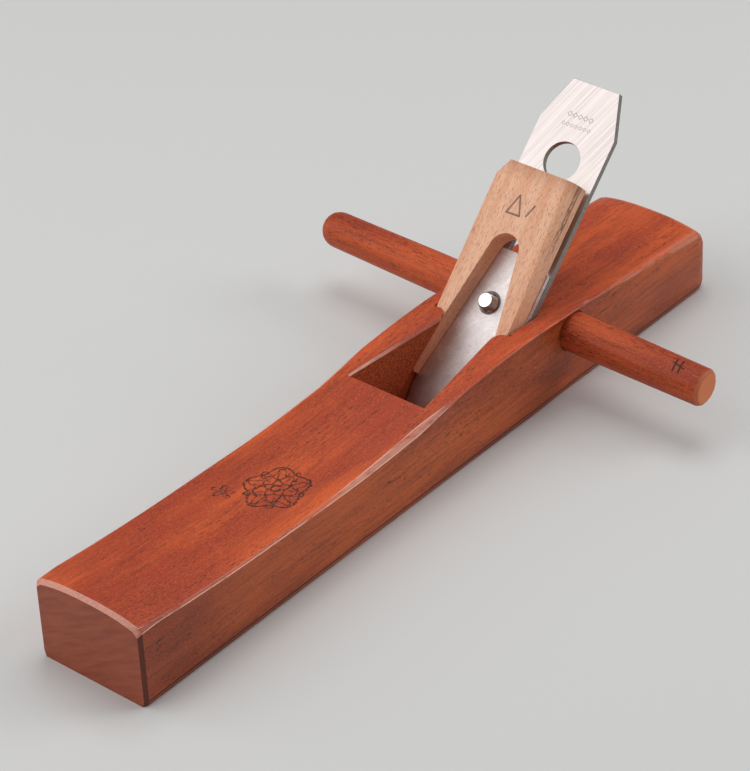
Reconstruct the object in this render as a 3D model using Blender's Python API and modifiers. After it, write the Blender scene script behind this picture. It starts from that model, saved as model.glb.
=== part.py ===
"""Long wooden hand plane: a solid rosewood stock with a sloping throat, a steel plane iron
with its cap iron and cap screw, a forked beech wedge, and a cross handle through the stock.

Metres, +Z up, +X towards the toe.  The origin is the middle of the flat sole.
The iron, cap iron, screw and wedge are drawn in the bed's own frame: s runs up the bed from
the cutting edge, n stands off the upper face of the iron, and y runs across the plane.
"""
import math

import bmesh
import bpy
from mathutils import Matrix, Vector

# --- clearances -------------------------------------------------------------------------
GAP = 0.0003               # between pieces that rest on each other
IRON_SIDE_PLAY = 0.0004    # each side of the iron in its channel
SCREW_HEAD_PLAY = 0.0010   # around the screw head in the groove of the bed

# --- stock ------------------------------------------------------------------------------
LENGTH = 0.400
WIDTH = 0.060
SOLE_BEVEL_IN = 0.0010     # long edges of the sole are eased by a tall, narrow bevel
SOLE_BEVEL_UP = 0.0030
DIP_HEIGHT = 0.0356        # long edge of the top at its lowest, in front of the throat
DIP_FROM = 0.075
DIP_TO = 0.095
TOE_RISE = 0.0052          # how far the edge rises again towards the toe
HUMP_HEIGHT = 0.0430       # highest, just behind the throat
HUMP_X = -0.058
HEEL_DROP = 0.0093         # from the hump down to the heel
HEEL_DROP_POWER = 1.35
CROWN = 0.0006             # the top is a little fuller in the middle than along its edges
TOE_CROWN = 0.0022         # extra crown at the very toe and heel
HEEL_CROWN = 0.0020
TOE_CHAMFER = 0.0019       # across the top of the toe
TOE_CORNER = 0.0013        # down each side of the toe
HEEL_ROUND_LENGTH = 0.0080
HEEL_ROUND_TOP = 0.0150
HEEL_ROUND_SIDE = 0.0044
HEEL_ROUND_SOLE = 0.0030
EDGE_CHAMFERS = (          # (x, width) of the softening along the top edges
    (-0.200, 0.0034), (-0.135, 0.0020), (-0.108, 0.0005), (-0.012, 0.0004), (0.000, 0.0014),
    (0.020, 0.0026), (0.060, 0.0018), (0.110, 0.0011), (0.188, 0.0011), (0.200, 0.0024))
ROUNDED_BEHIND = -0.105    # the softening is a flat chamfer ahead of this, and round behind it
COVE_DEPTH = 0.0024        # long hollow under each top edge, beside the throat
COVE_HEIGHT = 0.0270
COVE_FRONT_X = 0.012
COVE_REAR_X = -0.118
COVE_STEPS = (0.0, 0.04, 0.10, 0.18, 0.28, 0.40, 0.55, 0.72, 0.86, 1.0)

# --- throat -----------------------------------------------------------------------------
BED_ANGLE = math.radians(45)
EDGE_X = -0.0311           # where the iron's upper face would meet the sole
MOUTH_OPENING = 0.0020     # ahead of the cutting edge
MOUTH_LIP = 0.0025         # the mouth's front stands upright this far
THROAT_FRONT_X = 0.0067    # front edge of the throat on top of the stock
CHEEK_FRONT = 0.0215       # half width between the cheeks at that edge
CHEEK_REAR = 0.0140        # half width between the noses of the abutments
CHEEK_REAR_X = -0.0488
CHEEK_MOUTH = 0.0218       # half width just above the mouth
NOSE_RADIUS = 0.0064       # rounding of each abutment's nose on top of the stock
THROAT_CHAMFER = 0.0006    # along the throat's top edges

# --- plane iron, cap iron and cap screw ---------------------------------------------------
BLADE_SHIFT = -0.0015      # iron, cap iron and wedge sit a little to one side of the middle
IRON_WIDTH = 0.0428
IRON_THICKNESS = 0.0032
IRON_LENGTH = 0.1725
IRON_SHOULDER = 0.1510     # where the two top corners start to be clipped
IRON_TOP_WIDTH = 0.0265
IRON_BEVEL = math.radians(27)
EDGE_ABOVE_SOLE = 0.0003   # the iron is set just inside the sole
KEYHOLE_RADIUS = 0.0094
KEYHOLE_S = 0.1340
SLOT_WIDTH = 0.0116
SLOT_LOWER_S = 0.0460
CAP_WIDTH = 0.0422
CAP_THICKNESS = 0.0022
CAP_LOWER_S = 0.0019       # set this far back from the cutting edge
CAP_UPPER_S = 0.0865
CAP_LIP_LENGTH = 0.0130
CAP_LIP_EDGE = 0.0005      # thickness of the lip where it meets the iron
CAP_LIP_HOLLOW = 0.0006    # its underside is ground hollow by this much
CAP_CORNER_CLIP = 0.0050
SCREW_S = 0.0603
SCREW_SHIFT = -0.0013      # from the middle of the iron
SCREW_RADIUS = 0.0040
SCREW_PROUD = 0.0048       # threaded end standing out of the cap iron
THREAD_PITCH = 0.00125
THREAD_DEPTH = 0.0005
COUNTERSINK_RADIUS = 0.0057
COUNTERSINK_DEPTH = 0.0012
SCREW_HEAD_RADIUS = 0.0085
SCREW_HEAD_HEIGHT = 0.0034
SCREW_SLOT = (0.0016, 0.0012)   # width and depth of the screwdriver slot

# --- wedge ------------------------------------------------------------------------------
WEDGE_WIDTH = 0.0410
WEDGE_LOWER_S = 0.0172
WEDGE_UPPER_S = 0.1245
WEDGE_TIP_THICKNESS = 0.0085
WEDGE_TOP_THICKNESS = 0.0117
FORK_ARCH_S = 0.0840       # centre of the round top of the fork
FORK_ARCH_RADIUS = 0.0082
FORK_TIP_HALF = 0.0202     # half width of the fork between the tips of the legs
WEDGE_CORNER_CLIP = (0.0044, 0.0080)   # across and along, one top corner
WEDGE_WORN_CORNER = (0.0052, 0.0058)   # across and deep, the long edge rubbed away

# --- cross handle -------------------------------------------------------------------------
HANDLE_X = -0.0933
HANDLE_Z = 0.0306
HANDLE_SKEW = (0.0205, -0.0082)   # how far it leans along X and Z for each metre along Y
HANDLE_LENGTH = 0.2274
HANDLE_SHIFT = -0.0079     # it sits a little to one side
HANDLE_LONG = 0.0190       # oval section, longer way and shorter way
HANDLE_SHORT = 0.0172
HANDLE_TILT = math.radians(132)
HANDLE_END_SCALE = 0.93    # slimmer towards both ends
HANDLE_PARALLEL = 0.0900   # length of the part that keeps its full section
HANDLE_DOME = 0.0075       # far end
HANDLE_CHAMFER = 0.0014    # near end
HANDLE_SIDES = 14          # long facets left by the knife
HOLE_SIDES = 40            # its hole is bored and filed smooth

PARTS = "hand_plane"
CUTTERS = "cutters"


# --- frames and small helpers --------------------------------------------------------------
def bed_frame(s=0.0, n=0.0, across=BLADE_SHIFT):
    """Matrix with local X up the bed, local Y off the iron's face and local Z across."""
    up = Vector((-math.cos(BED_ANGLE), 0, math.sin(BED_ANGLE)))
    off = Vector((math.sin(BED_ANGLE), 0, math.cos(BED_ANGLE)))
    place = Vector((EDGE_X, across, 0)) + up * s + off * n
    matrix = Matrix((up, off, Vector((0, 1, 0)))).transposed().to_4x4()
    matrix.translation = place
    return matrix


def bed_x(n_at_edge, slope, z):
    """World x, at height z, of the plane that stands n_at_edge + slope*s off the iron."""
    c, t = math.cos(BED_ANGLE), math.sin(BED_ANGLE)
    # n = (x - EDGE_X)*t + z*c and s = -(x - EDGE_X)*c + z*t
    return EDGE_X + (n_at_edge + z * (slope * t - c)) / (t + slope * c)


def material(name, colour, roughness, metallic=0.0):
    made = bpy.data.materials.new(name)
    made.use_nodes = True
    shader = made.node_tree.nodes["Principled BSDF"]
    shader.inputs["Base Color"].default_value = (*colour, 1.0)
    shader.inputs["Roughness"].default_value = roughness
    shader.inputs["Metallic"].default_value = metallic
    return made


def add_object(name, mesh, collection, matrix=None, paint=None):
    made = bpy.data.objects.new(name, mesh)
    bpy.data.collections[collection].objects.link(made)
    if matrix is not None:
        made.matrix_world = matrix
    if paint is not None:
        mesh.materials.append(paint)
    if collection == CUTTERS:
        made.hide_render = True
        made.display_type = "WIRE"
    return made


def slab_mesh(name, outline, half_thickness):
    """A flat outline in the local XY plane, thick along local Z."""
    curve = bpy.data.curves.new(name, "CURVE")
    curve.dimensions = "2D"
    curve.fill_mode = "BOTH"
    curve.extrude = half_thickness
    spline = curve.splines.new("POLY")
    spline.points.add(len(outline) - 1)
    for point, (x, y) in zip(spline.points, outline):
        point.co = (x, y, 0, 1)
    spline.use_cyclic_u = True
    holder = bpy.data.objects.new(name, curve)
    bpy.context.scene.collection.objects.link(holder)
    graph = bpy.context.evaluated_depsgraph_get()
    mesh = bpy.data.meshes.new_from_object(holder.evaluated_get(graph))
    mesh.name = name
    bpy.data.objects.remove(holder)
    bpy.data.curves.remove(curve)
    shape = bmesh.new()
    shape.from_mesh(mesh)
    bmesh.ops.remove_doubles(shape, verts=shape.verts, dist=0.00001)
    bmesh.ops.recalc_face_normals(shape, faces=shape.faces)
    shape.to_mesh(mesh)
    shape.free()
    return mesh


def loft_mesh(name, sections):
    """Skin over closed sections that have the same number of points, with flat end caps."""
    shape = bmesh.new()
    rings = [[shape.verts.new(point) for point in section] for section in sections]
    for ring, following in zip(rings, rings[1:]):
        for i in range(len(ring)):
            j = (i + 1) % len(ring)
            shape.faces.new((ring[i], ring[j], following[j], following[i]))
    shape.faces.new(rings[0])
    shape.faces.new(rings[-1])
    bmesh.ops.recalc_face_normals(shape, faces=shape.faces)
    mesh = bpy.data.meshes.new(name)
    shape.to_mesh(mesh)
    shape.free()
    return mesh


def cut(target, cutter):
    step = target.modifiers.new(cutter.name, "BOOLEAN")
    step.operation = "DIFFERENCE"
    step.object = cutter
    step.solver = "EXACT"


def smooth(mesh, degrees=30):
    mesh.shade_smooth()
    mesh.set_sharp_from_angle(angle=math.radians(degrees))


# --- stock ------------------------------------------------------------------------------
def edge_height(x):
    """Height of the top's long edge: toe rise, dip, hump behind the throat, fall to the heel."""
    if x > DIP_TO:
        return DIP_HEIGHT + TOE_RISE * ((x - DIP_TO) / (LENGTH / 2 - DIP_TO)) ** 2
    if x > DIP_FROM:
        return DIP_HEIGHT
    if x > HUMP_X:
        t = (DIP_FROM - x) / (DIP_FROM - HUMP_X)
        return DIP_HEIGHT + (HUMP_HEIGHT - DIP_HEIGHT) * t * t * (3 - 2 * t)
    t = (HUMP_X - x) / (HUMP_X + LENGTH / 2 - HEEL_ROUND_LENGTH)
    return HUMP_HEIGHT - HEEL_DROP * t ** HEEL_DROP_POWER


def crown_height(x):
    """How much fuller the middle of the top is than its edges."""
    half = LENGTH / 2
    toe = max(0.0, (x - half / 2) / (half / 2))
    heel = max(0.0, (-x - half * 0.4) / (half * 0.6))
    return CROWN + TOE_CROWN * toe ** 2 + HEEL_CROWN * heel ** 1.5


def edge_chamfer(x):
    for (x0, w0), (x1, w1) in zip(EDGE_CHAMFERS, EDGE_CHAMFERS[1:]):
        if x <= x1:
            t = (x - x0) / (x1 - x0)
            return w0 + (w1 - w0) * t
    return EDGE_CHAMFERS[-1][1]


def cove_depth(x, t):
    """Depth of the side's hollow at x, with t from 0 at the top edge to 1 where it fades out."""
    if not COVE_REAR_X < x < COVE_FRONT_X:
        return 0.0
    along = (x - COVE_REAR_X) / (COVE_FRONT_X - COVE_REAR_X)
    swell = math.sin(math.pi * along) ** 0.8
    steepest = 0.286
    return COVE_DEPTH * swell * math.sqrt(t) * (1 - t) ** 2 / steepest


def stock_section(x, narrow=0.0, lower=0.0, lift=0.0):
    """Cross-section at x; narrow, lower and lift pull in its sides, top and sole."""
    half = WIDTH / 2 - narrow
    top = edge_height(x) - lower
    chamfer = edge_chamfer(x)
    foot = lift + SOLE_BEVEL_UP
    side = [(half - SOLE_BEVEL_IN, lift), (half, foot)]
    height = min(COVE_HEIGHT, top - chamfer - foot - 0.001)
    for t in reversed(COVE_STEPS):
        side.append((half - cove_depth(x, t), top - chamfer - height * t))
    inner = half - cove_depth(x, 0)
    bulge = 0.5 if x > ROUNDED_BEHIND else 0.3
    side.append((inner - chamfer * bulge, top - chamfer * bulge))
    side.append((inner - chamfer, top))
    flat = half - chamfer
    crown = []
    for i in range(1, 12):
        y = flat * (1 - i / 6)
        crown.append((y, top + crown_height(x) * (1 - (abs(y) / flat) ** 2.5)))
    loop = side + crown + [(-y, z) for y, z in reversed(side)]
    return [(x, y, z) for y, z in loop]


def stock_blank():
    sections = []
    for i in range(7):
        t = math.cos(math.pi / 2 * i / 6)
        q = 1 - math.sqrt(1 - t * t)
        x = -LENGTH / 2 + HEEL_ROUND_LENGTH * (1 - t)
        sections.append(stock_section(x, HEEL_ROUND_SIDE * q, HEEL_ROUND_TOP * q, HEEL_ROUND_SOLE * q))
    first = -LENGTH / 2 + HEEL_ROUND_LENGTH
    last = LENGTH / 2 - TOE_CHAMFER
    stations = {first + (last - first) * i / 44 for i in range(1, 45)}
    stations |= {x for x, _ in EDGE_CHAMFERS if first < x < last}
    sections += [stock_section(x) for x in sorted(stations)]
    sections.append(stock_section(LENGTH / 2, TOE_CORNER, TOE_CHAMFER))
    return loft_mesh("stock", sections)


def wedge_front(s):
    """How far the wedge's front face stands off the iron at s."""
    return wedge_seat() + WEDGE_TIP_THICKNESS + wedge_taper() * (s - WEDGE_LOWER_S)


def wedge_taper():
    return (WEDGE_TOP_THICKNESS - WEDGE_TIP_THICKNESS) / (WEDGE_UPPER_S - WEDGE_LOWER_S)


def wedge_seat():
    """The wedge's back lies on the cap iron."""
    return CAP_THICKNESS + 2 * GAP


def bed_depth():
    """The bed lies this far behind the iron's upper face."""
    return IRON_THICKNESS + GAP


def throat_front(z):
    """World x of the throat's sloping front wall at height z."""
    mouth = EDGE_X + MOUTH_OPENING
    slope = (THROAT_FRONT_X - mouth) / (edge_height(THROAT_FRONT_X) - MOUTH_LIP)
    return mouth + (z - MOUTH_LIP) * slope


def abutment_x(z):
    """World x, at height z, of the faces that hold the wedge down."""
    return bed_x(wedge_front(0) + GAP, wedge_taper(), z)


def cheek_half(x, z):
    """Half width between the cheeks, a flat plane through their three named points."""
    a = Vector((THROAT_FRONT_X, CHEEK_FRONT, edge_height(THROAT_FRONT_X)))
    b = Vector((CHEEK_REAR_X, CHEEK_REAR, edge_height(CHEEK_REAR_X)))
    c = Vector((EDGE_X + MOUTH_OPENING, CHEEK_MOUTH, MOUTH_LIP))
    normal = (b - a).cross(c - a)
    return a.y - (normal.x * (x - a.x) + normal.z * (z - a.z)) / normal.y


def channel_cutter():
    """Slope for the iron and the wedge, from the mouth up through the top."""
    high = HUMP_HEIGHT + 0.020
    low = -0.002
    mouth = EDGE_X + MOUTH_OPENING
    corner_z = abutment_foot()
    outline = [(bed_x(-bed_depth(), 0, low), low),
               (mouth, low),
               (mouth, MOUTH_LIP),
               (throat_front(corner_z), corner_z),
               (abutment_x(high), high),
               (bed_x(-bed_depth(), 0, high), high)]
    half = IRON_WIDTH / 2 + IRON_SIDE_PLAY
    across = Matrix.Translation((0, BLADE_SHIFT, 0)) @ Matrix.Rotation(math.pi / 2, 4, "X")
    return add_object("channel_cutter", slab_mesh("channel_cutter", outline, half), CUTTERS, across)


def abutment_foot():
    """Height at which the wedge's front plane meets the throat's front wall."""
    low, high = 0.0, HUMP_HEIGHT
    for _ in range(50):
        middle = (low + high) / 2
        if throat_front(middle) < abutment_x(middle):
            low = middle
        else:
            high = middle
    return high


def throat_ring(radius, front, rear, spread=0.0):
    """One level of the open throat, with a round nose on each abutment.

    front and rear are (x, z) of its two ends; spread widens it all round but at the rear.
    """
    corner = Vector((rear[0], cheek_half(*rear) + spread))
    along = Vector((front[0] + spread, cheek_half(*front) + spread)) - corner
    along.normalize()
    out = Vector((0, 1))
    half_angle = along.angle(out) / 2
    reach = radius / math.tan(half_angle)
    centre = corner + (along + out).normalized() * radius / math.sin(half_angle)
    start = corner + along * reach - centre
    turn = math.pi - 2 * half_angle
    side = [(front[0] + spread, cheek_half(*front) + spread)]
    for i in range(9):
        angle = turn * i / 8
        x = centre.x + start.x * math.cos(angle) + start.y * math.sin(angle)
        y = centre.y - start.x * math.sin(angle) + start.y * math.cos(angle)
        side.append((x, y))
    side.append((rear[0] - 0.002, side[-1][1]))
    slope = (rear[1] - front[1]) / (rear[0] - front[0])
    loop = side + [(x, -y) for x, y in reversed(side)]
    return [(x, y, front[1] + (x - front[0]) * slope) for x, y in loop]


def throat_cutter():
    """Open throat: its walls run up to just under the top, then flare out as a small chamfer."""
    low = abutment_foot() + 0.0002
    rear_x = abutment_x(HUMP_HEIGHT)
    levels = [throat_ring(0.0001, (throat_front(low), low), (abutment_x(low), low))]
    for above, spread in ((-THROAT_CHAMFER, 0.0), (0.004, 0.004 + THROAT_CHAMFER)):
        front_z = edge_height(THROAT_FRONT_X) + above
        rear_z = edge_height(rear_x) + above
        front = (throat_front(front_z) if above < 0 else THROAT_FRONT_X, front_z)
        rear = (abutment_x(rear_z), rear_z)
        levels.append(throat_ring(NOSE_RADIUS, front, rear, spread))
    return add_object("throat_cutter", loft_mesh("throat_cutter", levels), CUTTERS)


def screw_y():
    return BLADE_SHIFT + SCREW_SHIFT


def screw_groove_cutter():
    """Groove up the bed, so that the screw's head lies under the iron."""
    half = SCREW_HEAD_RADIUS + SCREW_HEAD_PLAY
    depth = bed_depth() + SCREW_HEAD_HEIGHT + SCREW_HEAD_PLAY
    lower = SCREW_S - SCREW_HEAD_RADIUS - 0.004
    upper = SCREW_S + 0.060
    outline = [(lower + half, half), (upper, half), (upper, -half), (lower + half, -half)]
    for i in range(1, 12):
        angle = -math.pi / 2 - math.pi * i / 12
        outline.append((lower + half + half * math.cos(angle), half * math.sin(angle)))
    middle = -(depth + IRON_THICKNESS) / 2
    place = bed_frame(0, middle, screw_y()) @ Matrix.Rotation(-math.pi / 2, 4, "X")
    mesh = slab_mesh("screw_groove_cutter", outline, (depth - IRON_THICKNESS) / 2 + GAP)
    return add_object("screw_groove_cutter", mesh, CUTTERS, place)


def handle_section(y, grow=0.0, scale=1.0, sides=HANDLE_SIDES):
    """Softly faceted oval, its longer way tilted."""
    points = []
    for i in range(sides):
        angle = 2 * math.pi * i / sides
        flat = 1 + 0.018 * math.cos(4 * angle)
        u = (HANDLE_LONG / 2 * scale * flat + grow) * math.cos(angle)
        v = (HANDLE_SHORT / 2 * scale * flat + grow) * math.sin(angle)
        x = HANDLE_X + HANDLE_SKEW[0] * y + u * math.cos(HANDLE_TILT) - v * math.sin(HANDLE_TILT)
        z = HANDLE_Z + HANDLE_SKEW[1] * y + u * math.sin(HANDLE_TILT) + v * math.cos(HANDLE_TILT)
        points.append((x, y, z))
    return points


def handle_hole_cutter():
    sections = [handle_section(y, grow=GAP, sides=HOLE_SIDES) for y in (-WIDTH, WIDTH)]
    return add_object("handle_hole_cutter", loft_mesh("handle_hole_cutter", sections), CUTTERS)


def make_stock():
    rosewood = material("rosewood", (0.42, 0.105, 0.045), 0.42)
    mesh = stock_blank()
    stock = add_object("stock", mesh, PARTS, paint=rosewood)
    cut(stock, channel_cutter())
    cut(stock, throat_cutter())
    cut(stock, screw_groove_cutter())
    cut(stock, handle_hole_cutter())
    smooth(mesh)
    return stock


# --- plane iron ---------------------------------------------------------------------------
def make_plane_iron():
    steel = material("brushed_steel", (0.72, 0.71, 0.69), 0.28, 1.0)
    edge = EDGE_ABOVE_SOLE / math.sin(BED_ANGLE)
    bevel = IRON_THICKNESS / math.tan(IRON_BEVEL)
    side_view = [(edge, 0), (IRON_LENGTH, 0), (IRON_LENGTH, -IRON_THICKNESS),
                 (edge + bevel, -IRON_THICKNESS)]
    mesh = slab_mesh("plane_iron", side_view, IRON_WIDTH / 2)
    iron = add_object("plane_iron", mesh, PARTS, bed_frame(), steel)
    cut(iron, keyhole_cutter())
    for side in (-1, 1):
        cut(iron, iron_corner_cutter(side))
    return iron


def keyhole_cutter():
    """Round hole with a narrower slot running down from it, ended by a half circle."""
    half = SLOT_WIDTH / 2
    meet = math.asin(half / KEYHOLE_RADIUS)
    outline = []
    for i in range(33):
        angle = math.pi - meet - (2 * math.pi - 2 * meet) * i / 32
        outline.append((KEYHOLE_S + KEYHOLE_RADIUS * math.cos(angle), KEYHOLE_RADIUS * math.sin(angle)))
    for i in range(13):
        angle = -math.pi / 2 - math.pi * i / 12
        outline.append((SLOT_LOWER_S + half + half * math.cos(angle), half * math.sin(angle)))
    place = bed_frame(0, -IRON_THICKNESS / 2) @ Matrix.Rotation(-math.pi / 2, 4, "X")
    mesh = slab_mesh("keyhole_cutter", outline, IRON_THICKNESS)
    return add_object("keyhole_cutter", mesh, CUTTERS, place)


def iron_corner_cutter(side):
    beyond = 0.010
    rise = (IRON_LENGTH - IRON_SHOULDER) / ((IRON_WIDTH - IRON_TOP_WIDTH) / 2)
    outline = [(IRON_SHOULDER - beyond * rise, side * (IRON_WIDTH / 2 + beyond)),
               (IRON_LENGTH + beyond * rise, side * (IRON_TOP_WIDTH / 2 - beyond)),
               (IRON_LENGTH + beyond * rise, side * (IRON_WIDTH / 2 + beyond))]
    place = bed_frame(0, -IRON_THICKNESS / 2) @ Matrix.Rotation(-math.pi / 2, 4, "X")
    mesh = slab_mesh("iron_corner_cutter", outline, IRON_THICKNESS)
    return add_object("iron_corner_cutter", mesh, CUTTERS, place)


# --- cap iron -----------------------------------------------------------------------------
def make_cap_iron():
    dull_steel = material("dull_steel", (0.50, 0.49, 0.48), 0.45, 1.0)
    low, high = GAP, GAP + CAP_THICKNESS
    lip = CAP_LOWER_S + CAP_LIP_LENGTH
    top, under = [], []
    for i in range(9):
        t = i / 8
        s = CAP_LOWER_S + CAP_LIP_LENGTH * t
        rise = math.sin(t * math.pi / 2)
        top.append((s, low + CAP_LIP_EDGE + (CAP_THICKNESS - CAP_LIP_EDGE) * rise))
        under.append((s, low + CAP_LIP_HOLLOW * math.sin(t * math.pi) * 0.5))
    side_view = top + [(CAP_UPPER_S, high), (CAP_UPPER_S, low)] + under[::-1]
    mesh = slab_mesh("cap_iron", side_view, CAP_WIDTH / 2)
    cap = add_object("cap_iron", mesh, PARTS, bed_frame(), dull_steel)
    cut(cap, screw_hole_cutter())
    cut(cap, countersink_cutter())
    for side in (-1, 1):
        cut(cap, cap_corner_cutter(side))
    return cap


def screw_hole_cutter():
    shape = bmesh.new()
    bmesh.ops.create_cone(shape, cap_ends=True, segments=32, radius1=SCREW_RADIUS + GAP,
                          radius2=SCREW_RADIUS + GAP, depth=CAP_THICKNESS * 4)
    mesh = bpy.data.meshes.new("screw_hole_cutter")
    shape.to_mesh(mesh)
    shape.free()
    place = bed_frame(SCREW_S, GAP, screw_y()) @ Matrix.Rotation(-math.pi / 2, 4, "X")
    return add_object("screw_hole_cutter", mesh, CUTTERS, place)


def countersink_cutter():
    """Cone that eases the upper rim of the tapped hole."""
    rise = 0.001
    slope = (COUNTERSINK_RADIUS - SCREW_RADIUS) / COUNTERSINK_DEPTH
    shape = bmesh.new()
    bmesh.ops.create_cone(shape, cap_ends=True, segments=32,
                          radius1=SCREW_RADIUS - slope * rise,
                          radius2=COUNTERSINK_RADIUS + slope * rise,
                          depth=COUNTERSINK_DEPTH + 2 * rise)
    mesh = bpy.data.meshes.new("countersink_cutter")
    shape.to_mesh(mesh)
    shape.free()
    middle = GAP + CAP_THICKNESS - COUNTERSINK_DEPTH / 2
    place = bed_frame(SCREW_S, middle, screw_y()) @ Matrix.Rotation(-math.pi / 2, 4, "X")
    return add_object("countersink_cutter", mesh, CUTTERS, place)


def cap_corner_cutter(side):
    half = CAP_WIDTH / 2
    clip = CAP_CORNER_CLIP
    outline = [(CAP_UPPER_S - 2 * clip, side * (half + clip)),
               (CAP_UPPER_S + clip, side * (half - 2 * clip)),
               (CAP_UPPER_S + clip, side * (half + clip))]
    place = bed_frame(0, GAP) @ Matrix.Rotation(-math.pi / 2, 4, "X")
    mesh = slab_mesh("cap_corner_cutter", outline, CAP_THICKNESS * 2)
    return add_object("cap_corner_cutter", mesh, CUTTERS, place)


# --- cap screw ----------------------------------------------------------------------------
def make_cap_screw():
    """Turned in its own frame: local Z is the screw's axis, zero at the iron's upper face."""
    bright_steel = material("bright_steel", (0.78, 0.78, 0.77), 0.22, 1.0)
    tip = GAP + CAP_THICKNESS + SCREW_PROUD
    shoulder = -bed_depth()
    bottom = shoulder - SCREW_HEAD_HEIGHT
    ease = 0.0006
    profile = [(0, tip), (SCREW_RADIUS - ease, tip), (SCREW_RADIUS, tip - ease)]
    crest = tip - ease - THREAD_PITCH * 0.2
    while crest - THREAD_PITCH > GAP:
        root = SCREW_RADIUS - THREAD_DEPTH
        profile += [(SCREW_RADIUS, crest), (root, crest - THREAD_PITCH * 0.4),
                    (root, crest - THREAD_PITCH * 0.5),
                    (SCREW_RADIUS, crest - THREAD_PITCH * 0.9)]
        crest -= THREAD_PITCH
    profile += [(SCREW_RADIUS, shoulder), (SCREW_HEAD_RADIUS - ease / 2, shoulder),
               (SCREW_HEAD_RADIUS, shoulder - ease / 2), (SCREW_HEAD_RADIUS, bottom + ease),
               (SCREW_HEAD_RADIUS - ease, bottom), (0, bottom)]
    shape = bmesh.new()
    points = [shape.verts.new((r, 0, z)) for r, z in profile]
    for first, second in zip(points, points[1:]):
        shape.edges.new((first, second))
    mesh = bpy.data.meshes.new("cap_screw")
    shape.to_mesh(mesh)
    shape.free()
    place = bed_frame(SCREW_S, 0, screw_y()) @ Matrix.Rotation(-math.pi / 2, 4, "X")
    screw = add_object("cap_screw", mesh, PARTS, place, bright_steel)
    turn = screw.modifiers.new("turn", "SCREW")
    turn.axis = "Z"
    turn.angle = 2 * math.pi
    turn.steps = 32
    turn.render_steps = 32
    turn.use_merge_vertices = True
    turn.merge_threshold = 0.00001
    slot_width, slot_depth = SCREW_SLOT
    shape = bmesh.new()
    bmesh.ops.create_cube(shape, size=1.0)
    bmesh.ops.scale(shape, verts=shape.verts,
                    vec=(SCREW_HEAD_RADIUS * 3, slot_width, slot_depth * 2))
    slot_mesh = bpy.data.meshes.new("driver_slot_cutter")
    shape.to_mesh(slot_mesh)
    shape.free()
    slot_place = place @ Matrix.Translation((0, 0, bottom))
    cut(screw, add_object("driver_slot_cutter", slot_mesh, CUTTERS, slot_place))
    return screw


# --- wedge --------------------------------------------------------------------------------
def make_wedge():
    beech = material("beech", (0.62, 0.36, 0.19), 0.5)
    back = wedge_seat()
    tip_bevel = 0.004
    side_view = [(WEDGE_LOWER_S, back), (WEDGE_UPPER_S, back),
                 (WEDGE_UPPER_S, wedge_front(WEDGE_UPPER_S)),
                 (WEDGE_LOWER_S + tip_bevel, wedge_front(WEDGE_LOWER_S + tip_bevel)),
                 (WEDGE_LOWER_S, wedge_front(WEDGE_LOWER_S) - tip_bevel)]
    mesh = slab_mesh("wedge", side_view, WEDGE_WIDTH / 2)
    wedge = add_object("wedge", mesh, PARTS, bed_frame(), beech)
    cut(wedge, fork_cutter())
    cut(wedge, wedge_clip_cutter())
    cut(wedge, worn_edge_cutter())
    return wedge


def fork_cutter():
    """Fork between the legs: a round arch that opens towards the tips."""
    outline = []
    for i in range(17):
        angle = -math.pi / 2 + math.pi * i / 16
        outline.append((FORK_ARCH_S + FORK_ARCH_RADIUS * math.cos(angle),
                        FORK_ARCH_RADIUS * math.sin(angle)))
    flare = (FORK_TIP_HALF - FORK_ARCH_RADIUS) / (FORK_ARCH_S - WEDGE_LOWER_S)
    beyond = 0.004
    outline.append((WEDGE_LOWER_S - beyond, FORK_TIP_HALF + flare * beyond))
    outline.append((WEDGE_LOWER_S - beyond, -FORK_TIP_HALF - flare * beyond))
    place = bed_frame(0, wedge_seat()) @ Matrix.Rotation(-math.pi / 2, 4, "X")
    mesh = slab_mesh("fork_cutter", outline, WEDGE_TOP_THICKNESS * 2)
    return add_object("fork_cutter", mesh, CUTTERS, place)


def wedge_clip_cutter():
    """One top corner of the wedge is sawn off; local Y points to the far side."""
    across, along = WEDGE_CORNER_CLIP
    half = WEDGE_WIDTH / 2
    outline = [(WEDGE_UPPER_S - 2 * along, half + across),
               (WEDGE_UPPER_S + along, half - 2 * across),
               (WEDGE_UPPER_S + along, half + across)]
    place = bed_frame(0, wedge_seat()) @ Matrix.Rotation(-math.pi / 2, 4, "X")
    mesh = slab_mesh("wedge_clip_cutter", outline, WEDGE_TOP_THICKNESS * 2)
    return add_object("wedge_clip_cutter", mesh, CUTTERS, place)


def worn_edge_cutter():
    """The front's other long edge is rubbed round, most of all near the top."""
    across, deep = WEDGE_WORN_CORNER
    beyond = 0.004
    sections = []
    for s, wear in ((0.056, 0.02), (0.075, 0.22), (0.090, 0.50), (0.105, 0.80), (0.116, 0.95),
                    (WEDGE_UPPER_S + 0.002, 1.0)):
        y = WEDGE_WIDTH / 2
        n = wedge_front(s)
        ring = [(s, n + beyond, y - across * wear - beyond), (s, n + beyond, y + beyond),
                (s, n - deep * wear - beyond, y + beyond)]
        for i in range(6):
            angle = math.pi / 2 * (0.12 + 0.76 * i / 5)
            ring.append((s, n - deep * wear * (1 - math.sin(angle) ** 0.9),
                         y - across * wear * (1 - math.cos(angle) ** 0.9)))
        sections.append(ring)
    mesh = loft_mesh("worn_edge_cutter", sections)
    return add_object("worn_edge_cutter", mesh, CUTTERS, bed_frame())


# --- cross handle -------------------------------------------------------------------------
def handle_scale(y):
    """Full section through the stock, a little slimmer towards the ends."""
    beyond = max(0.0, abs(y) - HANDLE_PARALLEL / 2)
    reach = HANDLE_LENGTH / 2 + abs(HANDLE_SHIFT) - HANDLE_PARALLEL / 2
    return 1 - (1 - HANDLE_END_SCALE) * beyond / reach


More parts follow.
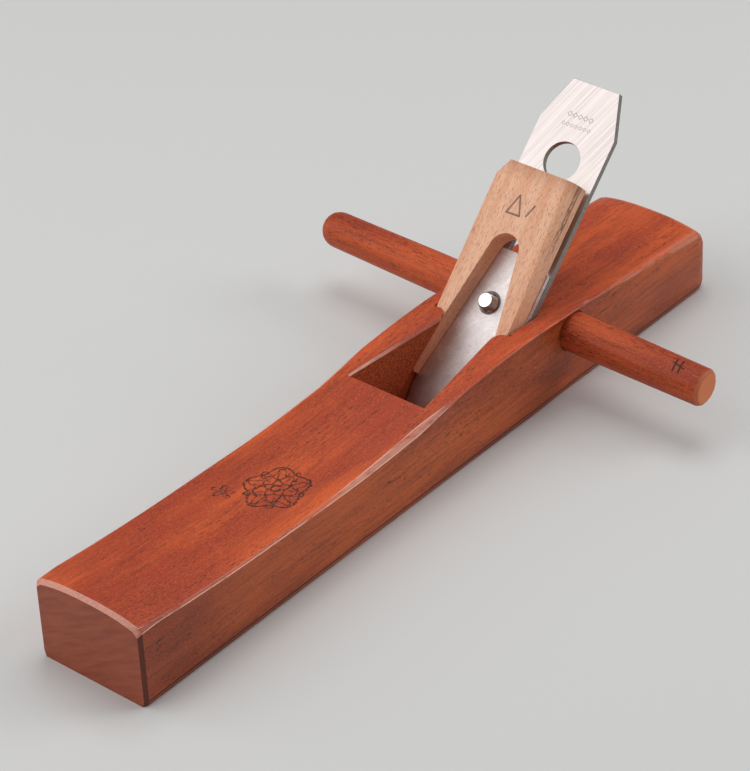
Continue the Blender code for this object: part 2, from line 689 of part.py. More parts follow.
def make_cross_handle():
    handle_wood = material("handle_rosewood", (0.40, 0.11, 0.05), 0.45)
    far = HANDLE_SHIFT - HANDLE_LENGTH / 2
    near = HANDLE_SHIFT + HANDLE_LENGTH / 2
    sections = [(far + HANDLE_DOME * (1 - math.cos(math.pi / 2 * i / 7)),
                 handle_scale(far) * (0.42 + 0.58 * math.sin(math.pi / 2 * i / 7)))
                for i in range(8)]
    for i in range(1, 12):
        y = far + HANDLE_DOME + (HANDLE_LENGTH - HANDLE_DOME - HANDLE_CHAMFER) * i / 11
        sections.append((y, handle_scale(y)))
    end = handle_scale(near) * (1 - 2 * HANDLE_CHAMFER / HANDLE_SHORT)
    sections.append((near, end))
    rings = [handle_section(y, scale=scale) for y, scale in sections]
    mesh = loft_mesh("cross_handle", rings)
    handle = add_object("cross_handle", mesh, PARTS, paint=handle_wood)
    smooth(mesh, 22)
    return handle


def clear_scene():
    for existing in list(bpy.data.objects):
        bpy.data.objects.remove(existing)
    for name in (PARTS, CUTTERS):
        collection = bpy.data.collections.new(name)
        bpy.context.scene.collection.children.link(collection)


clear_scene()
make_stock()
make_cross_handle()
make_plane_iron()
make_cap_iron()
make_cap_screw()
make_wedge()
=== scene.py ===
"""A long rosewood hand plane on a pale studio floor."""
import math

import bmesh
import bpy
import numpy as np
from mathutils import Matrix, Vector


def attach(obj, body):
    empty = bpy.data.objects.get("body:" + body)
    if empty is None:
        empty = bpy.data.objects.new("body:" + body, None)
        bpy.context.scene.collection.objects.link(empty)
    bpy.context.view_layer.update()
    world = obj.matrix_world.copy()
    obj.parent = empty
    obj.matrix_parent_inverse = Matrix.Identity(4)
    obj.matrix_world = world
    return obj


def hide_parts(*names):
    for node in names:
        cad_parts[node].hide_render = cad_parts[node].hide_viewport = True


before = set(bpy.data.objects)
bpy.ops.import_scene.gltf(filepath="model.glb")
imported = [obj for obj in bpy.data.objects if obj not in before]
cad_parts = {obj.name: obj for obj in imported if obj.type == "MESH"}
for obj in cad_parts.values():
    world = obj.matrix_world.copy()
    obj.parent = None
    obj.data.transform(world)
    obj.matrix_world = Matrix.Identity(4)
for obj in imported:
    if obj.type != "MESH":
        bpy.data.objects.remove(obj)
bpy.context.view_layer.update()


# --- Stock --------------------------------------------------------------------------------
# One block of red rosewood with a sloping throat, worked by hand with chisel and plane.
# Its long edges are eased, its cheeks are left rough from the saw, and a rosette is burned
# into the top in front of the throat.
def tone(red, green, blue):
    """Linear colour from the three 0 to 255 values of a colour chart."""
    chart = np.array([red, green, blue]) / 255.0
    linear = np.where(chart <= 0.04045, chart / 12.92, ((chart + 0.055) / 1.055) ** 2.4)
    return (*linear.tolist(), 1.0)


class Finish:
    """A material under construction: small steps that each return a socket."""

    def __init__(self, name):
        self.material = bpy.data.materials.new(name)
        self.material.use_nodes = True
        self.tree = self.material.node_tree
        self.shader = self.tree.nodes["Principled BSDF"]
        places = self.tree.nodes.new("ShaderNodeTexCoord")
        self.place = places.outputs["Object"]
        self.facing = places.outputs["Normal"]

    def step(self, kind, inputs, settings=None, output=0):
        node = self.tree.nodes.new(kind)
        for key, value in (settings or {}).items():
            setattr(node, key, value)
        for key, value in inputs.items():
            if value is None:
                continue
            if isinstance(value, bpy.types.NodeSocket):
                self.tree.links.new(value, node.inputs[key])
            else:
                node.inputs[key].default_value = value
        return node.outputs[output]

    def math(self, operation, a, b=None, c=None):
        return self.step("ShaderNodeMath", {0: a, 1: b, 2: c}, {"operation": operation})

    def vector(self, operation, a, b=None, output=0):
        return self.step("ShaderNodeVectorMath", {0: a, 1: b}, {"operation": operation}, output)

    def along(self, vector, direction):
        return self.vector("DOT_PRODUCT", vector, direction, "Value")

    def axis(self, vector, index):
        return self.step("ShaderNodeSeparateXYZ", {0: vector}, output=index)

    def join(self, x, y, z):
        return self.step("ShaderNodeCombineXYZ", {0: x, 1: y, 2: z})

    def noise(self, vector, stretch, detail=2.0, rough=0.5):
        """Cloudy 0 to 1 pattern; stretch is how many clouds there are in a metre each way."""
        scaled = self.vector("MULTIPLY", vector, stretch)
        return self.step("ShaderNodeTexNoise", {"Vector": scaled, "Scale": 1.0, "Detail": detail,
                                                "Roughness": rough})

    def between(self, value, low, high):
        """Smooth rise from 0 at low to 1 at high."""
        return self.step("ShaderNodeMapRange", {0: value, 1: low, 2: high, 3: 0.0, 4: 1.0},
                         {"interpolation_type": "SMOOTHSTEP"})

    def mix(self, amount, a, b, blend="MIX"):
        return self.step("ShaderNodeMix", {0: amount, 6: a, 7: b},
                         {"data_type": "RGBA", "blend_type": blend}, 2)

    def stroke(self, u, v, start, end, half_width):
        """1 on a line from start to end in the (u, v) plane, fading over half its half width."""
        point = self.join(u, v, 0.0)
        a = Vector((*start, 0.0))
        run = Vector((*end, 0.0)) - a
        offset = self.vector("SUBTRACT", point, a)
        share = self.math("DIVIDE", self.along(offset, run), run.length_squared)
        share = self.step("ShaderNodeClamp", {0: share})
        nearest = self.step("ShaderNodeVectorMath", {0: run, "Scale": share},
                            {"operation": "SCALE"})
        gap = self.vector("LENGTH", self.vector("SUBTRACT", offset, nearest), None, "Value")
        return self.between(gap, half_width * 1.25, half_width * 0.75)

    def most(self, masks):
        result = masks[0]
        for mask in masks[1:]:
            result = self.math("MAXIMUM", result, mask)
        return result

    def product(self, *masks):
        result = masks[0]
        for mask in masks[1:]:
            result = self.math("MULTIPLY", result, mask)
        return result

    def scaled(self, mask, gain, base):
        """gain times the mask, plus base."""
        return self.math("ADD", self.math("MULTIPLY", mask, gain), base)

    def swivelled(self, u, v, angle):
        """The pair (u, v) on axes turned by angle."""
        return (self.math("ADD", self.math("MULTIPLY", u, math.cos(angle)),
                          self.math("MULTIPLY", v, math.sin(angle))),
                self.math("SUBTRACT", self.math("MULTIPLY", v, math.cos(angle)),
                          self.math("MULTIPLY", u, math.sin(angle))))

    def relief(self, height, strength, distance):
        normal = self.step("ShaderNodeBump", {"Strength": strength, "Distance": distance,
                                              "Height": height})
        self.tree.links.new(normal, self.shader.inputs["Normal"])

    def colour(self, socket):
        self.tree.links.new(socket, self.shader.inputs["Base Color"])

    def dullness(self, socket):
        self.tree.links.new(socket, self.shader.inputs["Roughness"])


SAME_POINT = 0.000002
SAME_FLAT = math.radians(0.4)


def finished_copy(node, name, body, finish, soften, crease=28.0, clamp=True):
    """The CAD solid with its flats joined up, its curves smoothed and its edges just broken."""
    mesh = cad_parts[node].data.copy()
    mesh.name = name
    shape = bmesh.new()
    shape.from_mesh(mesh)
    bmesh.ops.remove_doubles(shape, verts=shape.verts, dist=SAME_POINT)
    bmesh.ops.dissolve_limit(shape, angle_limit=SAME_FLAT, verts=shape.verts,
                             edges=shape.edges)
    shape.to_mesh(mesh)
    shape.free()
    if "custom_normal" in mesh.attributes:
        mesh.attributes.remove(mesh.attributes["custom_normal"])
    mesh.update()
    mesh.shade_smooth()
    mesh.set_sharp_from_angle(angle=math.radians(crease))
    mesh.materials.clear()
    mesh.materials.append(finish.material)
    piece = bpy.data.objects.new(name, mesh)
    bpy.context.scene.collection.objects.link(piece)
    if soften:
        broken = piece.modifiers.new("broken_edges", "BEVEL")
        broken.width = soften
        broken.segments = 2
        broken.limit_method = "ANGLE"
        broken.angle_limit = math.radians(crease)
        broken.harden_normals = True
        broken.use_clamp_overlap = clamp
    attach(piece, body)
    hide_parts(node)
    return piece


def rosewood(finish, grain, light, deep):
    """Red rosewood drawn out along X of grain: cloudy tone, fine figure and short dark pores.

    light and deep are its two tones.  Returns colour and a height for relief.
    """
    drift = finish.noise(grain, (6.0, 22.0, 22.0), 2.0)
    drift = finish.math("MULTIPLY", finish.math("SUBTRACT", drift, 0.5), 0.012)
    warped = finish.vector("ADD", grain, finish.join(0.0, drift, drift))
    clouds = finish.noise(warped, (8.0, 38.0, 38.0), 3.0, 0.55)
    figure = finish.noise(warped, (28.0, 640.0, 640.0), 4.0, 0.65)
    speckle = finish.noise(grain, (800.0, 1500.0, 1500.0), 2.0, 0.6)
    pores = finish.noise(warped, (270.0, 2300.0, 2300.0), 1.0, 0.4)
    pores = finish.between(pores, 0.595, 0.68)
    clumps = finish.noise(warped, (20.0, 150.0, 150.0), 2.0)
    pores = finish.math("MULTIPLY", pores, finish.between(clumps, 0.36, 0.62))
    colour = finish.mix(finish.between(clouds, 0.33, 0.67), deep, light)
    colour = finish.mix(finish.math("MULTIPLY", finish.between(figure, 0.42, 0.70), 0.46),
                        colour, tone(112, 44, 26))
    colour = finish.mix(finish.math("MULTIPLY", finish.between(speckle, 0.48, 0.72), 0.30),
                        colour, tone(228, 132, 80))
    colour = finish.mix(finish.math("MULTIPLY", pores, 0.72), colour, tone(64, 22, 14))
    height = finish.math("SUBTRACT", finish.math("MULTIPLY", figure, 0.30), pores)
    height = finish.math("ADD", height, finish.math("MULTIPLY", speckle, 0.35))
    return colour, height


stock_finish = Finish("rosewood_oiled")
place, facing = stock_finish.place, stock_finish.facing
ahead, across, up = (stock_finish.axis(place, i) for i in range(3))
fore, aside, level = (stock_finish.math("ABSOLUTE", stock_finish.axis(facing, i))
                      for i in range(3))

# the sides are browner and flecked, the top redder
side_on = stock_finish.between(aside, 0.72, 0.90)
wood, height = rosewood(stock_finish, place,
                        stock_finish.mix(side_on, tone(218, 92, 38), tone(204, 96, 44)),
                        stock_finish.mix(side_on, tone(170, 60, 30), tone(150, 62, 32)))
freckles = stock_finish.noise(place, (520.0, 900.0, 1300.0), 3.0, 0.7)
freckles = stock_finish.math("MULTIPLY", side_on, stock_finish.between(freckles, 0.50, 0.68))
wood = stock_finish.mix(stock_finish.math("MULTIPLY", freckles, 0.34), wood, tone(96, 42, 22))

# end grain: brown, with faint slanting growth lines
GROWTH_SLOPE = math.radians(28)
growth_run, growth_rise = stock_finish.swivelled(across, up, GROWTH_SLOPE)
growth = stock_finish.noise(stock_finish.join(growth_run, growth_rise, ahead),
                            (60.0, 420.0, 30.0), 4.0, 0.6)
end_cells = stock_finish.noise(place, (300.0, 1700.0, 1700.0), 2.0, 0.6)
end_grain = stock_finish.mix(stock_finish.between(growth, 0.34, 0.66), tone(150, 70, 44),
                             tone(168, 84, 54))
end_grain = stock_finish.mix(stock_finish.math("MULTIPLY", stock_finish.between(
    end_cells, 0.45, 0.72), 0.4), end_grain, tone(112, 54, 38))
end_on = stock_finish.between(fore, 0.84, 0.94)
wood = stock_finish.mix(end_on, wood, end_grain)

# painted highlight: a pale flat across the top of the toe where its chamfer catches the front
# light, and a dark line down each of its corners
at_toe = stock_finish.between(ahead, 0.192, 0.194)
toe_chamfer_sheen = stock_finish.product(
    stock_finish.between(fore, 0.50, 0.60), stock_finish.between(fore, 0.90, 0.80),
    stock_finish.between(up, 0.030, 0.033), at_toe, stock_finish.between(level, 0.35, 0.55))
sheen_breakup = stock_finish.scaled(stock_finish.between(end_cells, 0.30, 0.60), 0.35, 0.58)
wood = stock_finish.mix(stock_finish.product(toe_chamfer_sheen, sheen_breakup), wood, tone(226, 162, 142))
toe_corner = stock_finish.product(
    stock_finish.between(fore, 0.25, 0.55), stock_finish.between(fore, 0.99, 0.94),
    stock_finish.between(level, 0.35, 0.20), at_toe)
wood = stock_finish.mix(stock_finish.product(toe_corner, 0.80), wood, tone(84, 36, 22))

# along each top edge: a pale flat between two bright lines, painted highlight where the burnished
# edge catches the lights, in patches
side_edge = stock_finish.between(fore, 0.55, 0.40)
wear_and_sheen = stock_finish.noise(place, (70.0, 300.0, 300.0), 3.0, 0.6)
wear_and_sheen = stock_finish.between(wear_and_sheen, 0.28, 0.52)
near_hump = stock_finish.product(stock_finish.between(ahead, -0.004, 0.010),
                                 stock_finish.between(ahead, 0.085, 0.060))
ahead_of_hump = stock_finish.between(ahead, -0.030, 0.000)
skyward = stock_finish.axis(facing, 2)
flat = stock_finish.product(
    stock_finish.between(level, 0.50, 0.60), stock_finish.between(level, 0.84, 0.78),
    stock_finish.scaled(near_hump, 0.30, 0.06))
lower_line = stock_finish.product(
    stock_finish.between(skyward, 0.20, 0.30), stock_finish.between(skyward, 0.66, 0.58),
    stock_finish.scaled(ahead_of_hump, 0.70, 0.25))
upper_line = stock_finish.product(
    stock_finish.between(level, 0.76, 0.84), stock_finish.between(level, 0.97, 0.93),
    stock_finish.scaled(near_hump, 0.60, 0.15))
edge_burnish_and_highlight = stock_finish.product(stock_finish.most([lower_line, upper_line, flat]), wear_and_sheen,
                                 side_edge, stock_finish.between(up, 0.020, 0.024))
# painted highlight: the pale pink of the burnished edges
wood = stock_finish.mix(edge_burnish_and_highlight, wood, tone(250, 200, 180))

# the cheeks and front of the throat are rough and brown
inside = stock_finish.product(
    stock_finish.between(ahead, -0.056, -0.052), stock_finish.between(ahead, 0.0078, 0.0070),
    stock_finish.between(stock_finish.math("ABSOLUTE", across), 0.0236, 0.0230),
    stock_finish.between(level, 0.62, 0.50))
fuzz = stock_finish.noise(place, (900.0, 900.0, 1100.0), 4.0, 0.7)
rough_wood = stock_finish.mix(stock_finish.between(fuzz, 0.32, 0.68), tone(136, 60, 28),
                              tone(206, 112, 62))
wood = stock_finish.mix(inside, wood, rough_wood)

# painted shade: fine dark lines along the creases where the bevel along the sole was planed
for line_height, strength in ((0.0032, 0.90), (0.0012, 0.40)):
    sole_crease_shade = stock_finish.math("ABSOLUTE", stock_finish.math("SUBTRACT", up, line_height))
    sole_crease_shade = stock_finish.between(sole_crease_shade, 0.0006, 0.0003)
    sole_crease_shade = stock_finish.math("MULTIPLY", sole_crease_shade, stock_finish.between(fore, 0.6, 0.3))
    wood = stock_finish.mix(stock_finish.math("MULTIPLY", sole_crease_shade, strength), wood,
                            tone(58, 22, 12))


def burned_flower(finish, ahead, across, centre, half_length, half_width, rings):
    """Line drawing in polar form: rings whose radius swings with the angle, and five veins.

    Each ring is its mean radius, swing, number of lobes, turn and line thickness, as shares of
    the flower's half size.
    """
    shake = finish.noise(finish.place, (420.0, 420.0, 420.0), 2.0, 0.6)
    shake = finish.math("MULTIPLY", finish.math("SUBTRACT", shake, 0.5), 0.0022)
    ahead, across = finish.math("ADD", ahead, shake), finish.math("SUBTRACT", across, shake)
    u = finish.math("DIVIDE", finish.math("SUBTRACT", ahead, centre[0]), half_length)
    v = finish.math("DIVIDE", finish.math("SUBTRACT", across, centre[1]), half_width)
    radius = finish.vector("LENGTH", finish.join(u, v, 0.0), None, "Value")
    angle = finish.math("ARCTAN2", v, u)
    lines = []
    for middle, swing, lobes, start, thick in rings:
        swung = finish.math("COSINE", finish.math("ADD", finish.math("MULTIPLY", angle, lobes),
                                                  start))
        target = finish.math("ADD", finish.math("MULTIPLY", swung, swing), middle)
        gap = finish.math("ABSOLUTE", finish.math("SUBTRACT", radius, target))
        lines.append(finish.between(gap, thick * 1.3, thick * 0.6))
    vein = finish.math("ABSOLUTE", finish.math("SINE", finish.math("MULTIPLY", angle, 5.0)))
    vein = finish.between(finish.math("MULTIPLY", vein, radius), 0.13, 0.06)
    lines.append(finish.product(vein, finish.between(radius, 0.34, 0.38),
                                finish.between(radius, 0.90, 0.84)))
    return finish.most(lines)


flowers = stock_finish.most([
    burned_flower(stock_finish, ahead, across, (0.0880, 0.0055), 0.0165, 0.0150, (
        (0.13, 0.00, 1, 0.0, 0.038), (0.30, 0.07, 5, 0.4, 0.034), (0.52, 0.12, 5, 3.5, 0.036),
        (0.74, 0.15, 10, 0.9, 0.030), (0.86, 0.10, 5, 0.4, 0.034))),
    burned_flower(stock_finish, ahead, across, (0.1035, -0.0115), 0.0050, 0.0065, (
        (0.20, 0.00, 1, 0.0, 0.070), (0.62, 0.26, 5, 1.1, 0.080)))])
patchy = stock_finish.noise(place, (700.0, 700.0, 700.0), 2.0, 0.6)
flowers = stock_finish.product(
    flowers, stock_finish.between(patchy, 0.26, 0.50),
    stock_finish.between(level, 0.85, 0.95), stock_finish.between(up, 0.020, 0.025))
wood = stock_finish.mix(stock_finish.math("MULTIPLY", flowers, 0.84), wood, tone(34, 14, 8))
stock_finish.colour(wood)
sheen = stock_finish.noise(place, (14.0, 160.0, 160.0), 3.0)
dull = stock_finish.scaled(sheen, 0.18, 0.36)
dull = stock_finish.math("ADD", dull, stock_finish.math("MULTIPLY", inside, 0.45))
stock_finish.dullness(dull)
height = stock_finish.math("SUBTRACT", height, stock_finish.math("MULTIPLY", flowers, 0.8))
height = stock_finish.math("ADD", height, stock_finish.product(inside, fuzz, 3.0))
stock_finish.relief(height, 0.35, 0.0003)
stock_finish.shader.inputs["Specular IOR Level"].default_value = 0.35
stock_wood = finished_copy("stock", "stock_wood", "body", stock_finish, 0.0005,
                           clamp=False)

# only the long outer edges ahead of and behind the hump are broken
OUTER_EDGES = 0.0265
HUMP_BACK, HUMP_FRONT, TOE_END = -0.118, -0.002, 0.1975
mesh = stock_wood.data
ends = np.empty(2 * len(mesh.edges), np.int32)
mesh.edges.foreach_get("vertices", ends)
points = np.empty(3 * len(mesh.vertices))
mesh.vertices.foreach_get("co", points)
middle = points.reshape(-1, 3)[ends.reshape(-1, 2)].mean(axis=1)
sharp = np.empty(len(mesh.edges), bool)
mesh.attributes["sharp_edge"].data.foreach_get("value", sharp)
outer = np.abs(middle[:, 1]) > OUTER_EDGES
clear = ((middle[:, 0] > HUMP_FRONT) & (middle[:, 0] < TOE_END)) | (middle[:, 0] < HUMP_BACK)
weight = mesh.attributes.new("bevel_weight_edge", "FLOAT", "EDGE")
weight.data.foreach_set("value", (sharp & outer & clear).astype(np.float32))
stock_wood.modifiers["broken_edges"].limit_method = "WEIGHT"


# --- Cross handle ---------------------------------------------------------------------------
# A rosewood stick shaved to a softly faceted oval, pushed through a hole in the stock.
# One end is domed and the other is sawn flat, with a maker's pencil strokes beside it.
handle_finish = Finish("handle_rosewood_worn")
grain = handle_finish.step("ShaderNodeVectorRotate",
                           {"Vector": handle_finish.place, "Angle": math.radians(90)},
                           {"rotation_type": "Z_AXIS"})
along_stick = handle_finish.axis(handle_finish.place, 1)
end_on = handle_finish.between(
    handle_finish.math("ABSOLUTE", handle_finish.axis(handle_finish.facing, 1)), 0.86, 0.97)
wood, height = rosewood(handle_finish, grain, tone(214, 94, 48), tone(156, 58, 34))
end_grain = handle_finish.noise(handle_finish.place, (1500.0, 300.0, 1500.0), 3.0, 0.6)
end_wood = handle_finish.mix(end_grain, tone(212, 100, 44), tone(240, 134, 68))
near_end = handle_finish.product(end_on, handle_finish.between(along_stick, 0.09, 0.10))
wood = handle_finish.mix(near_end, wood, end_wood)
pale_edge = handle_finish.product(handle_finish.between(along_stick, 0.1035, 0.1050), 0.5)
wood = handle_finish.mix(pale_edge, wood, tone(216, 136, 96))
side = handle_finish.axis(handle_finish.place, 0)
strokes = handle_finish.most([
    handle_finish.stroke(along_stick, side, (0.0890, -0.0925), (0.0900, -0.0865), 0.00050),
    handle_finish.stroke(along_stick, side, (0.0920, -0.0925), (0.0930, -0.0865), 0.00050),
    handle_finish.stroke(along_stick, side, (0.0885, -0.0900), (0.0945, -0.0885), 0.00042)])
strokes = handle_finish.math("MULTIPLY", strokes, handle_finish.between(
    handle_finish.axis(handle_finish.facing, 2), 0.1, 0.3))
wood = handle_finish.mix(handle_finish.math("MULTIPLY", strokes, 0.85), wood, tone(36, 20, 18))
handle_finish.colour(wood)
handle_finish.relief(height, 0.45, 0.0003)
handle_finish.shader.inputs["Roughness"].default_value = 0.46
handle_finish.shader.inputs["Specular IOR Level"].default_value = 0.22
finished_copy("cross_handle", "handle_wood", "handle", handle_finish, 0.0008,
              crease=20.0)


# --- Plane iron -----------------------------------------------------------------------------
# A flat bar of tool steel with a ground face, a keyhole for the cap screw and two clipped
# corners.  Grinding marks run slantwise over the face; small punch marks sit near the top.
BED_ANGLE = math.radians(45)
EDGE_X = -0.0311
up_bed = Vector((-math.cos(BED_ANGLE), 0.0, math.sin(BED_ANGLE)))
off_bed = Vector((math.sin(BED_ANGLE), 0.0, math.cos(BED_ANGLE)))


def bed_place(finish):
    """Distance up the bed from the cutting edge, across the plane, and off the iron's face."""
    offset = finish.vector("SUBTRACT", finish.place, Vector((EDGE_X, 0.0, 0.0)))
    return (finish.along(offset, up_bed), finish.axis(finish.place, 1),
            finish.along(offset, off_bed))


iron_finish = Finish("ground_steel")
rise, across, off = bed_place(iron_finish)
GRINDING_SLANT = math.radians(23.6)
lengthwise, crosswise = iron_finish.swivelled(rise, across, GRINDING_SLANT)
ground = iron_finish.join(lengthwise, crosswise, off)
fine = iron_finish.noise(ground, (24.0, 2100.0, 600.0), 3.0, 0.65)
coarse = iron_finish.noise(ground, (12.0, 760.0, 300.0), 2.0, 0.5)
lines = iron_finish.math("ADD", iron_finish.math("MULTIPLY", fine, 0.75),
                         iron_finish.math("MULTIPLY", coarse, 0.25))
steel = iron_finish.mix(iron_finish.between(lines, 0.36, 0.62), tone(196, 186, 182),
                        tone(223, 213, 209))
edge_on = iron_finish.math("ABSOLUTE", iron_finish.along(iron_finish.facing, off_bed))
edge_on = iron_finish.between(edge_on, 0.75, 0.45)
filed = iron_finish.noise(iron_finish.join(rise, across, off), (1600.0, 1600.0, 300.0), 3.0, 0.7)
steel = iron_finish.mix(edge_on, steel, iron_finish.mix(filed, tone(112, 108, 102),
                                                        tone(176, 172, 166)))


def punch_marks(finish, rise, across):
    """Two rows of small punched lozenges, an upper one of rings and a lower one of dots."""
    marks = []
    for row_rise, row_across, pitch, count, size in ((0.1562, -0.0022, 0.0030, 5, 0.0012),
                                                     (0.1512, -0.0022, 0.0024, 7, 0.0009)):
        offset = finish.math("SUBTRACT", across, row_across)
        cell = finish.math("DIVIDE", offset, pitch)
        centred = finish.math("SUBTRACT", finish.math("FRACT", finish.math("ADD", cell, 0.5)), 0.5)
        centred = finish.math("ABSOLUTE", finish.math("MULTIPLY", centred, pitch))
        above = finish.math("ABSOLUTE", finish.math("SUBTRACT", rise, row_rise))
        lozenge = finish.math("ADD", centred, above)
        ring = finish.math("ABSOLUTE", finish.math("SUBTRACT", lozenge, size))
        row = finish.between(ring, size * 0.32, size * 0.12)
        within = finish.between(finish.math("ABSOLUTE", cell), count / 2 + 0.05, count / 2)
        marks.append(finish.math("MULTIPLY", row, within))
    return finish.most(marks)


punched = punch_marks(iron_finish, rise, across)
steel = iron_finish.mix(iron_finish.math("MULTIPLY", punched, 0.62), steel, tone(112, 106, 104))
iron_finish.colour(steel)
iron_finish.shader.inputs["Metallic"].default_value = 1.0
dull = iron_finish.scaled(lines, 0.10, 0.32)
iron_finish.dullness(iron_finish.math("ADD", dull, iron_finish.math("MULTIPLY", edge_on, 0.18)))
height = iron_finish.math("SUBTRACT", lines, punched)
iron_finish.relief(height, 0.10, 0.00012)
finished_copy("plane_iron", "iron_steel", "iron", iron_finish, 0.00025)


# --- Cap iron ---------------------------------------------------------------------------------
# A thinner plate screwed to the iron's face, with a hollow-ground lip just behind the cutting
# edge.  It is older steel, mottled and scratched, with painted shade darkening it down in the
# throat.
cap_finish = Finish("scratched_steel")
rise, across, off = bed_place(cap_finish)
face = cap_finish.join(rise, across, off)
mottle = cap_finish.noise(face, (170.0, 170.0, 60.0), 5.0, 0.7)
grainy = cap_finish.noise(face, (1900.0, 1900.0, 900.0), 2.0, 0.7)
grainy = cap_finish.between(grainy, 0.42, 0.66)
steel = cap_finish.mix(cap_finish.between(mottle, 0.30, 0.72), tone(222, 214, 212),
                       tone(242, 235, 233))
steel = cap_finish.mix(cap_finish.math("MULTIPLY", grainy, 0.30), steel, tone(160, 154, 152))
scratches = []
for turn, share in ((0.5, 0.66), (-0.9, 0.70), (1.5, 0.72)):
    lengthwise, crosswise = cap_finish.swivelled(rise, across, turn)
    thin = cap_finish.noise(cap_finish.join(lengthwise, crosswise, turn),
                            (90.0, 1900.0, 1.0), 1.0, 0.5)
    scratches.append(cap_finish.between(thin, share, share + 0.05))
scratched = cap_finish.most(scratches)
steel = cap_finish.mix(cap_finish.math("MULTIPLY", scratched, 0.40), steel, tone(242, 240, 240))
# painted shade: the plate is darkened towards its lower end, down in the throat
shade = cap_finish.between(rise, 0.034, 0.014)
steel = cap_finish.mix(cap_finish.math("MULTIPLY", shade, 0.22), steel, tone(140, 130, 126))
cap_finish.colour(steel)
cap_finish.shader.inputs["Metallic"].default_value = 1.0
dull = cap_finish.scaled(mottle, 0.16, 0.44)
cap_finish.dullness(cap_finish.math("SUBTRACT", dull, cap_finish.math("MULTIPLY", scratched, 0.12)))
cap_finish.relief(cap_finish.math("ADD", mottle, cap_finish.math("MULTIPLY", scratched, 0.4)),
                  0.18, 0.00025)
finished_copy("cap_iron", "cap_steel", "cap", cap_finish, 0.0002)


# --- Cap screw --------------------------------------------------------------------------------
# A turned machine screw: its round head lies in a groove of the bed, and its threaded end
# stands out of the cap iron between the wedge's legs.
screw_finish = Finish("turned_steel")
rise, across, off = bed_place(screw_finish)
turned = screw_finish.noise(screw_finish.join(rise, across, off), (700.0, 700.0, 4000.0), 2.0)
steel = screw_finish.mix(turned, tone(222, 220, 218), tone(250, 249, 248))
# painted shade: the sides of the screw and the walls of its thread rings are darkened
shaded_walls = screw_finish.math("ABSOLUTE", screw_finish.along(screw_finish.facing, off_bed))
shaded_walls = screw_finish.between(shaded_walls, 0.9, 0.6)
steel = screw_finish.mix(screw_finish.math("MULTIPLY", shaded_walls, 0.75), steel, tone(84, 78, 74))
tick = screw_finish.stroke(rise, across, (0.0618, -0.0052), (0.0628, -0.0036), 0.0002)
steel = screw_finish.mix(screw_finish.math("MULTIPLY", tick, 0.6), steel, tone(90, 88, 86))
screw_finish.colour(steel)
screw_finish.shader.inputs["Metallic"].default_value = 1.0
screw_finish.shader.inputs["Roughness"].default_value = 0.24
screw_finish.relief(turned, 0.1, 0.0001)
finished_copy("cap_screw", "screw_steel", "screw", screw_finish, 0.0)


# --- Wedge ------------------------------------------------------------------------------------
# A forked wedge of beech driven down between the abutments and the cap iron.  Its long grain
# runs up the bed with beech's short dark flecks; one top corner is sawn off and the other long
# edge is broken away.  A carpenter's triangle is pencilled on its face.
wedge_finish = Finish("beech_oiled")
rise, across, off = bed_place(wedge_finish)
grain = wedge_finish.join(rise, across, off)
drift = wedge_finish.noise(grain, (14.0, 60.0, 60.0), 2.0)
drift = wedge_finish.math("MULTIPLY", wedge_finish.math("SUBTRACT", drift, 0.5), 0.004)
grain = wedge_finish.vector("ADD", grain, wedge_finish.join(0.0, drift, drift))
bands = wedge_finish.noise(grain, (10.0, 190.0, 190.0), 3.0, 0.6)
flecks = wedge_finish.noise(grain, (360.0, 3300.0, 3300.0), 1.0, 0.3)
flecks = wedge_finish.between(flecks, 0.59, 0.68)
fibres = wedge_finish.noise(grain, (60.0, 1500.0, 1500.0), 3.0, 0.6)
wood = wedge_finish.mix(wedge_finish.between(bands, 0.30, 0.70), tone(240, 174, 136),
                        tone(252, 198, 162))
wood = wedge_finish.mix(wedge_finish.product(wedge_finish.between(fibres, 0.45, 0.8), 0.35),
                        wood, tone(212, 148, 112))
wood = wedge_finish.mix(wedge_finish.math("MULTIPLY", flecks, 0.62), wood, tone(168, 98, 62))
front_on = wedge_finish.along(wedge_finish.facing, off_bed)
torn = wedge_finish.product(
    wedge_finish.between(across, 0.0166, 0.0180), wedge_finish.between(off, 0.0110, 0.0098),
    wedge_finish.between(off, 0.0060, 0.0072), wedge_finish.between(rise, 0.080, 0.104))
ragged = wedge_finish.noise(grain, (200.0, 900.0, 900.0), 4.0, 0.7)
stain = wedge_finish.math("MULTIPLY", torn, wedge_finish.between(ragged, 0.40, 0.56))
wood = wedge_finish.mix(wedge_finish.math("MULTIPLY", stain, 0.75), wood, tone(104, 54, 30))
handled = wedge_finish.math("MULTIPLY", wedge_finish.between(rise, 0.116, 0.1245), 0.35)
wood = wedge_finish.mix(handled, wood, tone(168, 104, 70))
corners = ((0.1010, -0.0085), (0.1105, -0.0050), (0.1012, -0.0010))
marks = [wedge_finish.stroke(rise, across, corners[i], corners[(i + 1) % 3], 0.00044)
         for i in range(3)]
marks.append(wedge_finish.stroke(rise, across, (0.1022, 0.0022), (0.1080, 0.0046), 0.00044))
marked = wedge_finish.math("MULTIPLY", wedge_finish.most(marks),
                           wedge_finish.between(front_on, 0.90, 0.97))
wood = wedge_finish.mix(wedge_finish.math("MULTIPLY", marked, 0.80), wood, tone(70, 62, 70))
wedge_finish.colour(wood)
wedge_finish.shader.inputs["Roughness"].default_value = 0.50
height = wedge_finish.math("SUBTRACT", wedge_finish.math("MULTIPLY", fibres, 0.4), flecks)
height = wedge_finish.math("ADD", height, wedge_finish.product(torn, ragged, 6.0))
wedge_finish.relief(height, 0.30, 0.0003)
finished_copy("wedge", "wedge_wood", "wedge", wedge_finish, 0.0006)


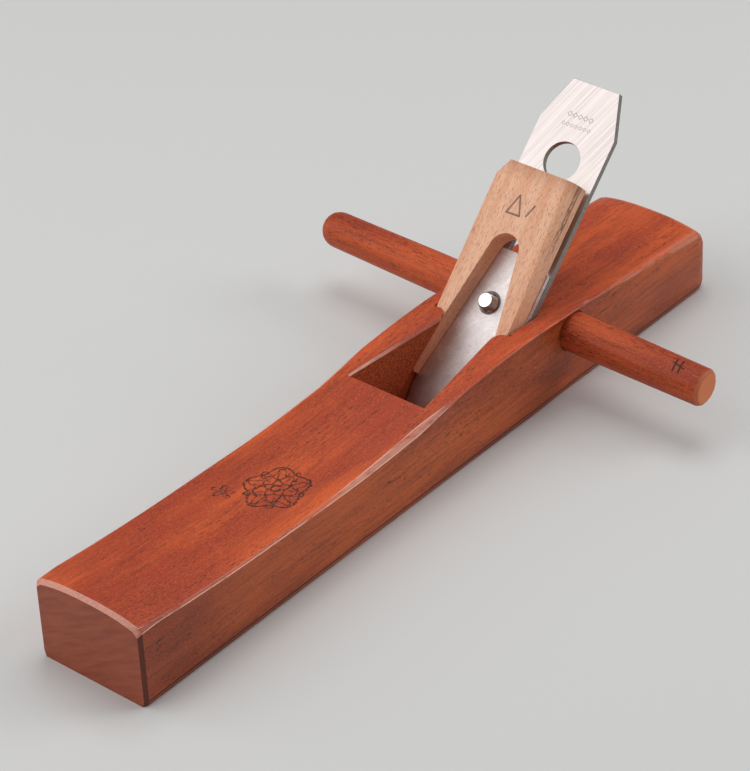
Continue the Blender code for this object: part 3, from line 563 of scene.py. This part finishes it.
# --- Studio -------------------------------------------------------------------------------
# A plain pale floor under three large soft square lights.  The camera looks down at the toe
# and one long side of the plane, through a long lens.
def floor_mesh(half_size):
    corners = [(-1, -1, 0), (1, -1, 0), (1, 1, 0), (-1, 1, 0)]
    mesh = bpy.data.meshes.new("floor")
    mesh.from_pydata([tuple(half_size * c for c in corner) for corner in corners], [],
                     [(0, 1, 2, 3)])
    return mesh


FLOOR_HALF = 6.0
floor = bpy.data.objects.new("floor", floor_mesh(FLOOR_HALF))
bpy.context.scene.collection.objects.link(floor)
floor_finish = Finish("pale_floor")
floor_finish.shader.inputs["Base Color"].default_value = tone(214, 214, 212)
floor_finish.shader.inputs["Roughness"].default_value = 0.55
floor.data.materials.append(floor_finish.material)


def soft_light(name, direction, distance, size, power):
    """A square area light that looks at the plane's middle from the given direction."""
    aim = Vector((-0.02, 0.0, 0.03))
    lamp = bpy.data.lights.new(name, "AREA")
    lamp.shape = "SQUARE"
    lamp.size = size
    lamp.energy = power
    light = bpy.data.objects.new(name, lamp)
    bpy.context.scene.collection.objects.link(light)
    ray = Vector(direction).normalized()
    light.location = aim + ray * distance
    light.rotation_euler = ray.to_track_quat("Z", "Y").to_euler()


soft_light("front_left_box", (0.56, -0.55, 0.62), 1.5, 1.7, 12.5)
soft_light("back_right_box", (-0.62, 0.56, 0.55), 1.8, 0.9, 9.0)
soft_light("overhead_box", (-0.25, -0.10, 1.0), 1.9, 1.2, 13.0)

world = bpy.data.worlds.new("studio")
world.use_nodes = True
world.node_tree.nodes["Background"].inputs["Color"].default_value = (0.80, 0.81, 0.83, 1.0)
world.node_tree.nodes["Background"].inputs["Strength"].default_value = 0.30
bpy.context.scene.world = world

CAMERA_PLACE = (0.92164, 0.80084, 0.87254)
LENS_LENGTH = 154.2
heading, dip, tilt = math.radians(221.42), math.radians(34.30), math.radians(-2.91)
look = Vector((math.cos(dip) * math.cos(heading), math.cos(dip) * math.sin(heading),
               -math.sin(dip)))
level_right = look.cross(Vector((0.0, 0.0, 1.0))).normalized()
level_up = level_right.cross(look)
camera_right = math.cos(tilt) * level_right + math.sin(tilt) * level_up
camera_up = math.cos(tilt) * level_up - math.sin(tilt) * level_right
lens = bpy.data.cameras.new("camera")
lens.sensor_fit = "VERTICAL"
lens.sensor_height = 36.0
lens.lens = LENS_LENGTH
lens.clip_start = 0.05
camera = bpy.data.objects.new("camera", lens)
bpy.context.scene.collection.objects.link(camera)
turn = Matrix((camera_right, camera_up, -look)).transposed().to_4x4()
camera.matrix_world = Matrix.Translation(CAMERA_PLACE) @ turn
bpy.context.scene.camera = camera
bpy.context.scene.view_settings.view_transform = "Standard"
